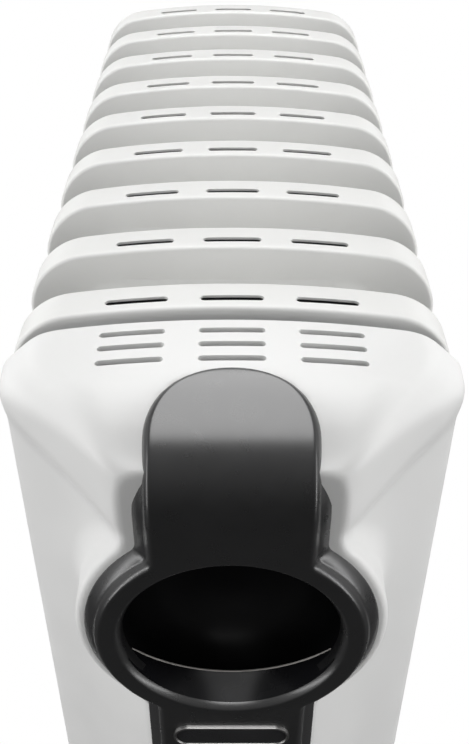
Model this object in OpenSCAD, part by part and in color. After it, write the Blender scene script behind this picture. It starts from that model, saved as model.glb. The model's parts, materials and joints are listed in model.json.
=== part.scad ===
// Oil filled radiator heater with pressed steel fins, a front control housing with a grip cup,
// and four swivel castors.
// +Z is up, the controls face -Y, and the origin is at the middle of the box's base.

/* [Overall] */
// Height from the floor to the top of the fins
height = 640; // [600:5:700]
// Clearance from the floor to the underside of the fins
fin_low = 75; // [72:1:85]

/* [Fins] */
// Number of fins
fin_count = 9; // [5:1:9]
// Distance from one fin to the next
fin_pitch = 40; // [39:0.5:42]
// Width of a fin
fin_w = 157; // [150:1:165]
// Depth of a fin's folded rim
rim_d = 16; // [15:0.5:18]
// Thickness of the fin's sheet
skin = 0.8; // [0.7:0.1:1.2]
// Radius of the arched top
crown_r = 400; // [350:10:600]
// Radius of the top corners
corner_r = 25; // [20:1:28]
// Radius of the bottom corners
foot_r = 14; // [8:1:20]
// Length of an air slot
slot_l = 22; // [18:1:24]
// Width of an air slot
slot_w = 3; // [2:0.1:3.2]
// Distance between the middles of neighbouring slots
slot_pitch = 33; // [30:1:36]
// How far the slots lie ahead of the fin's middle
slot_ahead = 2; // [0:0.5:3]

/* [Oil headers] */
// Width of a header
header_w = 120; // [100:2:124]
// Height of a header
header_h = 44; // [40:1:46]
// How far a header stands out of the fin's face
header_rise = 5; // [4:0.5:6]
// Distance from the fin's edge to the header
header_inset = 14; // [10:1:16]
// Radius of the hole through each header
header_bore = 12; // [11:0.5:13]

/* [Housing] */
// Distance from the front fin to the housing's front plane
house_front = 68; // [66:1:70]
// Height of the housing's underside
house_low = 78; // [76:1:80]
// Thickness of the housing's wall
house_wall = 2.5; // [2:0.1:3]
// Width of a vent in the hood
vent_w = 2.7; // [2.2:0.1:3]
// Distance from one row of vents to the next
vent_pitch = 7.1; // [6.5:0.1:7.5]

/* [Fascia and grip] */
// Thickness of the fascia
fascia_t = 7; // [6:0.5:8]
// Half the width of the strip's face
strip_hw = 25; // [24:0.5:26]
// Half the width of the strip's base
skirt_hw = 33; // [30:0.5:34]
// Height of the strip's lower end
strip_low = 195; // [190:5:230]
// Distance from the top of the fins down to the middle of the ring
ring_drop = 91.5; // [88:0.5:95]
// Radius of the ring's opening
ring_r = 38; // [36:0.5:38]
// Outer radius of the ring's face
ring_face_r = 45.3; // [44:0.1:46]
// Outer radius of the ring's skirt
ring_skirt_r = 52; // [51:0.5:53]
// Outer radius of the grip cup
cup_r = 47; // [46:0.5:48]
// Depth of the grip cup
cup_depth = 44; // [38:1:44]
// Radius of the grip lip's edge
lip_r = 54.5; // [53.5:0.5:55.5]
// Thickness of the grip lip
lip_t = 6; // [5:0.5:7]

/* [Controls] */
// Height of the thermostat knob
thermo_z = 335; // [330:5:345]
// Height of the power selector knob
select_z = 425; // [420:5:435]
// Height of the indicator lamp
lamp_z = 382; // [378:1:384]
// Radius of a knob
knob_r = 20; // [17:0.5:21]
// How far a knob stands out of the fascia
knob_h = 18; // [14:1:20]
// Radius of a knob's shaft
shaft_r = 3; // [2.5:0.1:3]

/* [Castors] */
// Radius of a castor wheel
wheel_r = 20; // [18:1:21]
// Width of one wheel
wheel_w = 11; // [9:1:12]
// Distance from the swivel to the wheel's axle
trail = 16; // [12:1:17]
// Distance from the middle to each swivel
track = 105; // [100:1:110]
// Radius of a castor's stem
stem_r = 4.5; // [4:0.1:5]

/* [Hidden] */
FRONT_NAMES = ["front_left", "front_right"];
REAR_NAMES = ["rear_left", "rear_right"];
CORNERS = concat(FRONT_NAMES, REAR_NAMES);

$fn = 64;
hull_fn = 32;
eps = 0.5;
fit = 0.05;
snug = 0.02;

reach = house_front + fascia_t + knob_h;
crown_z = height - crown_r;
corner_x = fin_w / 2 - corner_r;
corner_z = crown_z + sqrt(pow(crown_r - corner_r, 2) - pow(corner_x, 2));
crown_a = atan2(corner_z - crown_z, corner_x);

header_reach = rim_d / 2 + header_rise;
header_zs = [height - header_inset - header_h / 2, fin_low + header_inset + header_h / 2];
gallery_w = 22;
gallery_d = 12;
slot_xs = [-slot_pitch, 0, slot_pitch];
bush_r = 17;
bush_l = fin_pitch - 2 * header_reach;
plug_r = 20;
plug_t = 3;
filler_r = 5;
filler_hex_r = 8;
filler_head_t = 5;

length = reach + slot_ahead + (fin_count - 1) * fin_pitch + header_reach + plug_t + filler_head_t;
y_slot1 = reach - length / 2;

element_r = 3.2;
element_x = 5.2;
element_gap = 30;
element_l = (fin_count - 1) * fin_pitch - element_gap;
pin_r = 1.5;
pin_l = 12;
flange_t = 4;
flange_r = 24;
gasket_t = 1.5;

plate_t = 1.5;
plate_v = header_reach - slot_ahead;
house_rear = plate_v + plate_t;
house_wide = 24.5;
rear_step = 1;
// Sections of the housing: distance ahead, half width, drop from the crown
MID = [45, 58, 5];
NOSE = [60, 42, 12];
FRONT = [house_front, skirt_hw + 1, 28];
vent_rows = 3;
vent_v = 18.1;
vent_deep = 14;
ring_z = height - ring_drop;
cup_front = house_front - cup_depth;
cup_wall = 2;
lip_z = height - 70.9;
collar_back = 45;
collar_base_r = ring_skirt_r + 6;
collar_top_r = ring_skirt_r + 1;
post_r = 5;
post_l = 18;
post_x = 68;
post_zs = [200, 480];
split_z = 395;
screw_r = 1.7;
screw_l = 12;
head_r = 3.5;
head_t = 2;

strip_top_z = height - 45;
strip_tip_v = 63.5;
strip_tip_z = height - 12;
strip_tip_tilt = 19;
strip_tip_t = 2.5;
shaft_hole = shaft_r + 2;
lens_r = 4;
lamp_r = lens_r - 1;
lens_out = 1;
lens_in = 3;
fascia_screw_x = 12;
fascia_screw_zs = [strip_low + 15, select_z + 35];
badge_hw = 21.7;
badge_h = 12;
badge_t = 1.5;
badge_z = height - 146.5;

knob_gap = 0.4;
knob_taper = 1.5;
cap_inset = 3;
cap_h = 6;
shaft_in = 10;
bracket_v = house_front - 8;
bracket_hw = 24;
bracket_ends = 30;
body_hw = 16;
body_d = 20;
shaft_end = 12;
bulb_r = 3;
bulb_hw = 22;
bulb_drop = 45;
cutout_x = -35;
cutout_z = 240;
cutout_r = 8;
cutout_t = 8;
tilt_z = 265;
tilt_v = 30;
tilt_arm = 16;
tilt_pin_r = 1.5;
tilt_hw = 14;
tilt_d = 16;
tilt_down = 26;
tilt_up = 8;
tilt_wall = 3;
eye_r = 3.5;
eye_hw = 3;
arm_hw = 1.5;
bob_r = 5;
bob_hw = 6;
block_v = 32;
block_hw = 24;
block_h = 16;
block_z = 150;
wire_v = 36;
wire_r = 1.6;
wire_in = 8;
wire_drop = 40;
wire_xs = [-20, 17, 21];
wire_tops = [thermo_z - wire_drop, select_z - wire_drop, lamp_z - wire_drop];

wrap_z = 135;
wrap_flange_w = 74;
wrap_flange_h = 42;
wrap_core_w = 50;
wrap_core_h = 18;
wrap_out = 18;
wrap_t = 4;
gland_v = 45;
gland_r = 7;
gland_bore = 4;
gland_l = 16;
gland_head_r = gland_r + 3;
gland_head_t = 6;

wheel_plate_w = 36;
wheel_plate_t = 2;
boss_r = 8;
boss_l = 22;
ubolt_r = 2.5;
ubolt_gap = 0.3;
ubolt_x = bush_r + ubolt_r + ubolt_gap;
ubolt_drop = 15;
nut_r = 5;
nut_h = 7;
wing_l = 13;
web_w = 9;
web_r = wheel_r - 3;
wheel_gap = 0.5;
wheel_clear = 1;
axle_r = 3;
castor_top = 46;
bracket_ys = [fin_y(1) + fin_pitch / 2, fin_y(fin_count) - fin_pitch / 2];

function fin_y(k) = y_slot1 + slot_ahead + (k - 1) * fin_pitch;

// Y of a place that is v ahead of the front fin's slots
function ahead(v) = y_slot1 - v;

function arc(cx, cz, r, a0, a1, n) =
    [for (i = [0:n]) let (a = a0 + (a1 - a0) * i / n) [cx + r * cos(a), cz + r * sin(a)]];

// Fin outline in X and Z, moved in by inset, with its base at low
function fin_points(inset, low) =
    let (step = (180 - 2 * crown_a) / 14,
         r = corner_r - inset,
         rf = foot_r - inset,
         xf = fin_w / 2 - foot_r,
         zf = low + foot_r)
    concat(arc(corner_x, corner_z, r, 0, crown_a, 8),
           arc(0, crown_z, crown_r - inset, crown_a + step, 180 - crown_a - step, 12),
           arc(-corner_x, corner_z, r, 180 - crown_a, 180, 8),
           arc(-xf, zf, rf, 180, 270, 5),
           arc(xf, zf, rf, 270, 360, 5));

// Rounded block outline: half width, top, base, top corner radius
function block_points(hw, top, low, r) =
    concat(arc(hw - r, top - r, r, 0, 90, 6), arc(r - hw, top - r, r, 90, 180, 6),
           [[-hw, low], [hw, low]]);

// Outline of one of the housing's sections
function form_points(form, inset) =
    block_points(form[1] - inset, height - form[2] - inset, house_low + inset, corner_r);

function pill_points(z, w, h) =
    concat(arc((w - h) / 2, z, h / 2, -90, 90, 12), arc((h - w) / 2, z, h / 2, 90, 270, 12));

// Extrudes an outline in X and Z from y0 to y1
module slab(points, y0, y1) {
    translate([0, y1, 0])
        rotate([90, 0, 0])
            linear_extrude(y1 - y0)
                polygon(points);
}

// Rod along Y from y0 to y1
module rod_y(x, z, r, y0, y1) {
    translate([x, y1, z])
        rotate([90, 0, 0])
            cylinder(r = r, h = y1 - y0);
}

module rod_x(y, z, r, x0, x1) {
    translate([x0, y, z])
        rotate([0, 90, 0])
            cylinder(r = r, h = x1 - x0);
}

// Box between two corners
module span(a, b) {
    translate(a)
        cube(b - a);
}

module slot_cut(x, y, z0, z1, l, w) {
    translate([x, y, z0])
        linear_extrude(z1 - z0)
            polygon(pill_points(0, l, w));
}

module oil_core(y, inset) {
    for (z = header_zs)
        slab(pill_points(z, header_w - 2 * inset, header_h - 2 * inset),
             y - header_reach + inset, y + header_reach - inset);
    for (x = slot_xs)
        span([x - gallery_w / 2 + inset, y - gallery_d / 2 + inset, header_zs[1]],
             [x + gallery_w / 2 - inset, y + gallery_d / 2 - inset, header_zs[0]]);
}

module fin(k) {
    y = fin_y(k);
    color("whitesmoke")
        difference() {
            union() {
                slab(fin_points(0, fin_low), y - rim_d / 2, y + rim_d / 2);
                for (z = header_zs)
                    slab(pill_points(z, header_w, header_h), y - header_reach, y + header_reach);
            }
            difference() {
                slab(fin_points(skin, fin_low), y - rim_d / 2 + skin, y + rim_d / 2 - skin);
                oil_core(y, 0);
            }
            oil_core(y, skin);
            for (x = slot_xs) {
                slot_cut(x, y - slot_ahead, height - 2 * slot_w - skin, height + eps, slot_l, slot_w);
                slot_cut(x, y - slot_ahead, fin_low - eps, fin_low + 2 * skin, slot_l, slot_w);
            }
            for (z = header_zs)
                rod_y(0, z, header_bore, y - header_reach - eps, y + header_reach + eps);
        }
}

module header_bushes(z) {
    color("silver")
        for (k = [1:fin_count - 1])
            difference() {
                rod_y(0, z, bush_r, fin_y(k) + header_reach, fin_y(k) + header_reach + bush_l);
                rod_y(0, z, header_bore, fin_y(k), fin_y(k + 1));
            }
}

module header_plug(z, y_face, out) {
    rod_y(0, z, plug_r, min(y_face, y_face + out * plug_t), max(y_face, y_face + out * plug_t));
    rod_y(0, z, header_bore - fit, min(y_face, y_face - out * plug_t),
          max(y_face, y_face - out * plug_t));
}

module header_plugs() {
    y_back = fin_y(fin_count) + header_reach;
    color("silver")
        difference() {
            union() {
                header_plug(header_zs[0], y_back, 1);
                header_plug(header_zs[1], y_back, 1);
                header_plug(header_zs[0], fin_y(1) - header_reach, -1);
            }
            rod_y(0, header_zs[0], filler_r, y_back - 2 * plug_t, y_back + 2 * plug_t);
        }
}

module filler_plug() {
    y_back = fin_y(fin_count) + header_reach;
    color("goldenrod") {
        rod_y(0, header_zs[0], filler_r - fit, y_back - plug_t, y_back + plug_t);
        translate([0, y_back + plug_t, header_zs[0]])
            rotate([-90, 0, 0])
                cylinder(r = filler_hex_r, h = filler_head_t, $fn = 6);
    }
}

module heating_elements() {
    y0 = fin_y(1) - header_reach - gasket_t - flange_t;
    color("dimgray")
        for (s = [-1, 1]) {
            for (t = [-1, 1]) {
                rod_y(s * element_x, header_zs[1] + t * element_x, element_r, y0, fin_y(1) + element_l);
                rod_y(s * element_x, header_zs[1] + t * element_x, pin_r, y0 - pin_l, y0);
            }
            translate([s * element_x, fin_y(1) + element_l, header_zs[1]])
                rotate([90, 0, 90])
                    rotate([0, 0, -90])
                        rotate_extrude(angle = 180)
                            translate([element_x, 0])
                                circle(r = element_r);
        }
}

module element_flange() {
    y1 = fin_y(1) - header_reach - gasket_t;
    color("silver")
        difference() {
            rod_y(0, header_zs[1], flange_r, y1 - flange_t, y1);
            for (s = [-1, 1], t = [-1, 1])
                rod_y(s * element_x, header_zs[1] + t * element_x, element_r + fit,
                      y1 - flange_t - eps, y1 + eps);
        }
}

module element_gasket() {
    y1 = fin_y(1) - header_reach;
    color("firebrick")
        difference() {
            rod_y(0, header_zs[1], flange_r, y1 - gasket_t, y1);
            rod_y(0, header_zs[1], header_bore, y1 - gasket_t - eps, y1 + eps);
        }
}

module bulkhead_plate() {
    y1 = ahead(plate_v);
    color("silver")
        difference() {
            slab(fin_points(rear_step + house_wall + eps, house_low), y1 - plate_t, y1);
            rod_y(0, header_zs[1], flange_r + eps, y1 - 2 * plate_t, y1 + eps);
            rod_y(0, header_zs[0], plug_r + eps, y1 - 2 * plate_t, y1 + eps);
            for (s = [-1, 1], z = post_zs)
                rod_y(s * post_x, z, screw_r + fit, y1 - 2 * plate_t, y1 + eps);
        }
}

module bulkhead_screws() {
    y1 = ahead(plate_v);
    color("dimgray")
        for (s = [-1, 1], z = post_zs) {
            rod_y(s * post_x, z, screw_r, y1 - screw_l, y1);
            rod_y(s * post_x, z, head_r, y1, y1 + head_t);
        }
}

// Outer form of the housing, moved in by inset on every side
module house_form(inset, rear) {
    hull() {
        slab(fin_points(rear_step + inset, house_low), ahead(house_wide) - eps, ahead(rear));
        slab(fin_points(inset, house_low), ahead(house_wide) - 1, ahead(house_wide));
        for (f = [MID, NOSE])
            slab(form_points(f, inset), ahead(f[0]) - 1, ahead(f[0]));
        slab(form_points(FRONT, inset), ahead(FRONT[0] - inset), ahead(FRONT[0] - inset) + 1);
    }
}

// Collar that stands out of the housing round the grip
module collar() {
    translate([0, ahead(collar_back), ring_z])
        rotate([90, 0, 0])
            cylinder(r1 = collar_base_r, r2 = collar_top_r, h = house_front - collar_back);
}

module grip_collar() {
    color("white")
        difference() {
            collar();
            rod_y(0, ring_z, cup_r + fit, ahead(house_front + 1), ahead(collar_back - 1));
        }
}

// Hollow housing, with its screw posts and every opening
module housing_shell() {
    difference() {
        union() {
            difference() {
                house_form(0, house_rear);
                house_form(house_wall, house_rear - eps);
            }
            intersection() {
                house_form(eps, house_rear);
                for (s = [-1, 1], z = post_zs)
                    rod_y(s * post_x, z, post_r, ahead(plate_v + plate_t + post_l),
                          ahead(plate_v + plate_t));
            }
        }
        for (s = [-1, 1], z = post_zs)
            rod_y(s * post_x, z, screw_r + snug, ahead(plate_v + screw_l), ahead(plate_v));
        collar();
        for (z = [thermo_z, select_z])
            rod_y(0, z, shaft_hole, ahead(house_front + 1), ahead(house_front - 2 * house_wall));
        rod_y(0, lamp_z, lens_r + fit, ahead(house_front + 1), ahead(house_front - 2 * house_wall));
        for (s = [-1, 1], z = fascia_screw_zs)
            rod_y(s * fascia_screw_x, z, screw_r + snug, ahead(house_front + 1),
                  ahead(house_front - 2 * house_wall));
        for (x = slot_xs, i = [0:vent_rows - 1])
            slot_cut(x, ahead(vent_v + i * vent_pitch), height - vent_deep, height + eps, slot_l, vent_w);
        translate([0, ahead(gland_v), house_low - eps])
            cylinder(r = gland_r + fit, h = 2 * house_wall);
    }
}

module housing_part(z0, z1) {
    intersection() {
        housing_shell();
        span([-fin_w, ahead(house_front + fascia_t), z0], [fin_w, ahead(0), z1]);
    }
}

module front_housing() {
    color("white") housing_part(split_z, height + eps);
}

module lower_housing() {
    color("white") housing_part(house_low - eps, split_z - fit);
}

// Section of the strip between two heights, wider at its base than at its face
module strip_run(z0, z1) {
    translate([0, 0, z0])
        linear_extrude(z1 - z0)
            polygon([[-skirt_hw, ahead(house_front)], [skirt_hw, ahead(house_front)],
                     [strip_hw, ahead(house_front + fascia_t)],
                     [-strip_hw, ahead(house_front + fascia_t)]]);
}

// Half of a disc, on the side that faces +Y
module half_disc(r, t) {
    linear_extrude(t)
        polygon(arc(0, 0, r, 0, 180, hull_fn / 2));
}

module control_fascia() {
    color([0.13, 0.13, 0.14])
        difference() {
            union() {
                difference() {
                    hull() {
                        translate([0, ahead(strip_tip_v), strip_tip_z])
                            rotate([strip_tip_tilt, 0, 0])
                                half_disc(strip_hw, strip_tip_t);
                        strip_run(strip_top_z - 1, strip_top_z);
                    }
                    house_form(0, house_rear);
                }
                strip_run(strip_low, strip_top_z);
                translate([0, ahead(house_front), ring_z])
                    rotate([90, 0, 0])
                        cylinder(r1 = ring_skirt_r, r2 = ring_face_r, h = fascia_t);
            }
            rod_y(0, ring_z, ring_r, ahead(house_front + fascia_t + 1), ahead(house_front - 1));
            for (z = [thermo_z, select_z])
                rod_y(0, z, shaft_hole, ahead(house_front + fascia_t + 1), ahead(house_front - 1));
            rod_y(0, lamp_z, lens_r + fit, ahead(house_front + fascia_t + 1), ahead(house_front - 1));
        }
}

module fascia_screws() {
    color("dimgray")
        for (s = [-1, 1], z = fascia_screw_zs) {
            rod_y(s * fascia_screw_x, z, screw_r, ahead(house_front), ahead(house_front - house_wall));
            rod_y(s * fascia_screw_x, z, head_r, ahead(house_front - house_wall),
                  ahead(house_front - house_wall - head_t));
        }
}

module grip_cup() {
    color([0.04, 0.04, 0.05]) {
        difference() {
            rod_y(0, ring_z, cup_r, ahead(house_front), ahead(cup_front));
            rod_y(0, ring_z, cup_r - cup_wall, ahead(house_front + 1), ahead(cup_front + cup_wall));
        }
        difference() {
            rod_y(0, ring_z, cup_r - cup_wall, ahead(house_front), ahead(house_front - lip_t));
            rod_y(0, lip_z, lip_r, ahead(house_front + 1), ahead(house_front - lip_t - 1));
            span([-cup_r, ahead(house_front + 1), ring_z],
                 [cup_r, ahead(house_front - lip_t - 1), ring_z + cup_r]);
        }
    }
}

module badge_plate() {
    color("gray")
        slab(pill_points(badge_z, 2 * badge_hw, badge_h), ahead(house_front + fascia_t + badge_t),
             ahead(house_front + fascia_t));
}

module knob(z) {
    y0 = ahead(house_front + fascia_t + knob_gap);
    drum_h = knob_h - cap_h - knob_gap;
    difference() {
        union() {
            translate([0, y0, z])
                rotate([90, 0, 0])
                    cylinder(r1 = knob_r, r2 = knob_r - knob_taper, h = drum_h);
            translate([0, y0 - drum_h, z])
                rotate([90, 0, 0])
                    cylinder(r1 = knob_r - cap_inset, r2 = knob_r - cap_inset - 1, h = cap_h);
        }
        rod_y(0, z, shaft_r + snug, y0 - shaft_in, y0 + eps);
    }
}

module shaft(z) {
    rod_y(0, z, shaft_r, ahead(house_front + fascia_t + knob_gap + shaft_in),
          ahead(bracket_v - shaft_end));
}

module control_body(z) {
    difference() {
        span([-body_hw, ahead(bracket_v), z - body_hw], [body_hw, ahead(bracket_v - body_d), z + body_hw]);
        rod_y(0, z, shaft_r + fit, ahead(bracket_v + 1), ahead(bracket_v - shaft_end - eps));
    }
}

module thermostat_bulb() {
    color("peru")
        rod_x(ahead(plate_v + plate_t + bulb_r), thermo_z - bulb_drop, bulb_r, -bulb_hw, bulb_hw);
}

module indicator_lens() {
    color("orangered")
        rod_y(0, lamp_z, lens_r, ahead(house_front + fascia_t + lens_out), ahead(house_front - lens_in));
}

module indicator_lamp() {
    color("ivory")
        rod_y(0, lamp_z, lamp_r, ahead(house_front - lens_in), ahead(bracket_v + plate_t));
}

module thermal_cutout() {
    color("black")
        rod_y(cutout_x, cutout_z, cutout_r, ahead(plate_v + plate_t + cutout_t),
              ahead(plate_v + plate_t));
}

module tilt_switch_body() {
    color("ivory")
        difference() {
            span([-tilt_hw, ahead(tilt_v + tilt_d), tilt_z - tilt_down],
                 [tilt_hw, ahead(plate_v + plate_t), tilt_z + tilt_up]);
            span([tilt_wall - tilt_hw, ahead(tilt_v + tilt_d - tilt_wall), tilt_z - tilt_down + tilt_wall],
                 [tilt_hw - tilt_wall, ahead(plate_v), tilt_z + tilt_up - tilt_wall]);
            rod_x(ahead(tilt_v), tilt_z, tilt_pin_r + snug, -tilt_hw - 1, tilt_hw + 1);
        }
}

module tilt_pin() {
    color("silver")
        rod_x(ahead(tilt_v), tilt_z, tilt_pin_r, -tilt_hw, tilt_hw);
}

module tilt_pendulum() {
    color("goldenrod")
        difference() {
            union() {
                rod_x(ahead(tilt_v), tilt_z, eye_r, -eye_hw, eye_hw);
                span([-arm_hw, ahead(tilt_v) - arm_hw, tilt_z - tilt_arm],
                     [arm_hw, ahead(tilt_v) + arm_hw, tilt_z]);
                rod_x(ahead(tilt_v), tilt_z - tilt_arm, bob_r, -bob_hw, bob_hw);
            }
            rod_x(ahead(tilt_v), tilt_z, tilt_pin_r + fit, -bob_hw, bob_hw);
        }
}

module terminal_block() {
    color("ivory")
        difference() {
            span([-block_hw, ahead(block_v), block_z - block_h / 2],
                 [block_hw, ahead(plate_v + plate_t), block_z + block_h / 2]);
            for (x = wire_xs)
                rod_y(x, block_z, wire_r + fit, ahead(block_v + 1), ahead(block_v - wire_in - eps));
        }
}

module control_bracket() {
    color("silver")
        difference() {
            span([-bracket_hw, ahead(bracket_v + plate_t), thermo_z - bracket_ends],
                 [bracket_hw, ahead(bracket_v), select_z + bracket_ends]);
            for (z = [thermo_z, select_z])
                rod_y(0, z, shaft_hole, ahead(bracket_v + plate_t + 1), ahead(bracket_v - 1));
        }
}

module wiring_loom() {
    color("sienna")
        for (i = [0:2]) {
            translate([wire_xs[i], ahead(wire_v), block_z])
                cylinder(r = wire_r, h = wire_tops[i] - block_z);
            rod_y(wire_xs[i], block_z, wire_r, ahead(wire_v), ahead(block_v - wire_in));
        }
}

module cord_gland() {
    color("black")
        translate([0, ahead(gland_v), 0])
            difference() {
                union() {
                    translate([0, 0, house_low - gland_head_t])
                        cylinder(r = gland_r, h = gland_l);
                    translate([0, 0, house_low - gland_head_t])
                        cylinder(r = gland_head_r, h = gland_head_t);
                }
                translate([0, 0, house_low - gland_head_t - eps])
                    cylinder(r = gland_bore, h = gland_l + 2 * eps);
            }
}

module cord_wrap() {
    color([0.13, 0.13, 0.14]) {
        slab(pill_points(wrap_z, wrap_core_w, wrap_core_h), ahead(house_front + wrap_out),
             ahead(house_front));
        slab(pill_points(wrap_z, wrap_flange_w, wrap_flange_h),
             ahead(house_front + wrap_out + wrap_t), ahead(house_front + wrap_out));
    }
}

module wheel_bracket(y) {
    color("silver")
        difference() {
            union() {
                span([-track, y - wheel_plate_w / 2, fin_low - wheel_plate_t],
                     [track, y + wheel_plate_w / 2, fin_low]);
                for (s = [-1, 1])
                    translate([s * track, y, fin_low - boss_l])
                        cylinder(r = boss_r, h = boss_l);
                for (s = [-1, 1])
                    translate([s * track, y, fin_low - wheel_plate_t])
                        cylinder(r = wheel_plate_w / 2, h = wheel_plate_t);
            }
            for (s = [-1, 1]) {
                translate([s * track, y, fin_low - boss_l - eps])
                    cylinder(r = stem_r + fit, h = boss_l + 2 * eps);
                translate([s * ubolt_x, y, fin_low - 2 * wheel_plate_t])
                    cylinder(r = ubolt_r + ubolt_gap, h = 3 * wheel_plate_t);
            }
        }
}

module u_bolts() {
    color("silver")
        for (y = bracket_ys) {
            translate([0, y, header_zs[1]])
                rotate([90, 0, 0])
                    rotate_extrude(angle = 180)
                        translate([ubolt_x, 0])
                            circle(r = ubolt_r);
            for (s = [-1, 1])
                translate([s * ubolt_x, y, fin_low - ubolt_drop])
                    cylinder(r = ubolt_r, h = header_zs[1] - fin_low + ubolt_drop);
        }
}

module wing_nuts() {
    color("silver")
        for (y = bracket_ys, s = [-1, 1])
            translate([s * ubolt_x, y, fin_low - wheel_plate_t - nut_h])
                difference() {
                    union() {
                        cylinder(r = nut_r, h = nut_h);
                        span([-1, -wing_l, 0], [1, wing_l, nut_h - 1]);
                    }
                    translate([0, 0, -eps])
                        cylinder(r = ubolt_r + snug, h = nut_h + 2 * eps);
                }
}

function castor_x(i) = (i % 2 == 0 ? -1 : 1) * track;
function castor_y(i) = bracket_ys[floor(i / 2)];

module castor(i) {
    color("black")
        translate([castor_x(i), castor_y(i), 0])
            difference() {
                union() {
                    rod_x(-trail, wheel_r, web_r, -web_w / 2, web_w / 2);
                    span([-web_w / 2, -trail, wheel_r], [web_w / 2, boss_r, castor_top - 1]);
                    translate([0, 0, 2 * wheel_r + wheel_clear])
                        cylinder(r = boss_r, h = castor_top - 2 * wheel_r - wheel_clear);
                    translate([0, 0, castor_top])
                        cylinder(r = stem_r, h = fin_low - castor_top - 1);
                }
                rod_x(-trail, wheel_r, axle_r + fit, -web_w, web_w);
            }
}

module axle(i) {
    color("silver")
        translate([castor_x(i), castor_y(i), 0])
            rod_x(-trail, wheel_r, axle_r, -web_w / 2 - wheel_w, web_w / 2 + wheel_w);
}

module wheels(i) {
    color("black")
        translate([castor_x(i), castor_y(i), 0])
            for (s = [-1, 1])
                difference() {
                    translate([s * (web_w / 2 + wheel_gap + wheel_w / 2), 0, 0])
                        rod_x(-trail, wheel_r, wheel_r, -wheel_w / 2, wheel_w / 2);
                    rod_x(-trail, wheel_r, axle_r + snug, -track, track);
                }
}

for (i = [1:fin_count])
    fin(i);
header_bushes(header_zs[0]);  // header_bushes_upper
header_bushes(header_zs[1]);  // header_bushes_lower
header_plugs();
filler_plug();
heating_elements();
element_flange();
element_gasket();
bulkhead_plate();
bulkhead_screws();
front_housing();
lower_housing();
grip_collar();
control_fascia();
fascia_screws();
grip_cup();
badge_plate();
color("black") knob(thermo_z);  // thermostat_knob
color("silver") shaft(thermo_z);  // thermostat_shaft
color("ivory") control_body(thermo_z);  // thermostat_body
thermostat_bulb();
color("black") knob(select_z);  // selector_knob
color("silver") shaft(select_z);  // selector_shaft
color("ivory") control_body(select_z);  // selector_switch_body
indicator_lens();
indicator_lamp();
thermal_cutout();
tilt_switch_body();
tilt_pin();
tilt_pendulum();
terminal_block();
control_bracket();
wiring_loom();
cord_gland();
cord_wrap();
wheel_bracket(bracket_ys[0]);  // wheel_bracket_front
wheel_bracket(bracket_ys[1]);  // wheel_bracket_rear
u_bolts();
wing_nuts();
for (i = [0:3]) {
    castor(i);
    axle(i);
    wheels(i);
}
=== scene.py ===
import json
import math

import bmesh
import bpy
import numpy as np
from mathutils import Matrix, Vector
from mathutils.geometry import delaunay_2d_cdt


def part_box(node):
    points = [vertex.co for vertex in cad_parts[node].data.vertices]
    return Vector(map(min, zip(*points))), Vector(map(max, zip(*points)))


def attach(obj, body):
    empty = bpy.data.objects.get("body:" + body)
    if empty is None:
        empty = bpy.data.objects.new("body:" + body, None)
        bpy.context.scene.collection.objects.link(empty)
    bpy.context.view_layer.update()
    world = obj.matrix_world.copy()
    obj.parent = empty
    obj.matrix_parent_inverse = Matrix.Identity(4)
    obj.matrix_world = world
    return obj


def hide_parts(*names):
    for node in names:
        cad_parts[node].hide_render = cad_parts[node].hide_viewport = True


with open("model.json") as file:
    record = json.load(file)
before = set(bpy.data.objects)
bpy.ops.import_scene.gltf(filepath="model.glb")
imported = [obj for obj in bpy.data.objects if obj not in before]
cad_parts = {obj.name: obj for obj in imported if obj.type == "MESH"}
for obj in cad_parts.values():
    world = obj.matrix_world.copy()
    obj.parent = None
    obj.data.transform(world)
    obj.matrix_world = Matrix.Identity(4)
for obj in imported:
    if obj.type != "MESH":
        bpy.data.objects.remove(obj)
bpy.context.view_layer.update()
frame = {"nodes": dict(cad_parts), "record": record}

MM = 0.001

# ---------------------------------------------------------------- places taken from the frame
fin_low, fin_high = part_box("fin_1")
CROWN = fin_high[2] / MM
FOOT = fin_low[2] / MM
FIN_W = (fin_high[0] - fin_low[0]) / MM
# a fin's slots lie this far ahead of its middle, and "ahead" is counted from the front fin's slots
SLOT_AHEAD = 2.0
Y_FIN = 0.5 * (fin_low[1] + fin_high[1]) / MM - SLOT_AHEAD
FIN_YS = [0.5 * (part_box(f"fin_{i}")[0][1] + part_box(f"fin_{i}")[1][1]) / MM for i in range(1, 10)]
HOUSE_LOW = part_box("lower_housing")[0][2] / MM
SPLIT_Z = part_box("front_housing")[0][2] / MM - CROWN
HOUSE_FRONT = Y_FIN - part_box("front_housing")[0][1] / MM
HOUSE_REAR = Y_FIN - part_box("front_housing")[1][1] / MM
FACE_V = Y_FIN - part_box("control_fascia")[0][1] / MM
STRIP_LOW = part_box("control_fascia")[0][2] / MM
cup_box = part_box("grip_cup")
RING_Z = 0.5 * (cup_box[0][2] + cup_box[1][2]) / MM - CROWN
BADGE_Z = 0.5 * (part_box("badge_plate")[0][2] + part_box("badge_plate")[1][2]) / MM - CROWN
SLOT_XS = (-33.0, 0.0, 33.0)
CORNERS = ("front_left", "front_right", "rear_left", "rear_right")


def centre(node):
    """Middle of a CAD node's box, in millimetres."""
    low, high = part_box(node)
    return [0.5 * (a + b) / MM for a, b in zip(low, high)]


def extent(node, axis):
    """Low and high limits of a CAD node's box along an axis, in millimetres."""
    low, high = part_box(node)
    return low[axis] / MM, high[axis] / MM


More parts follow.
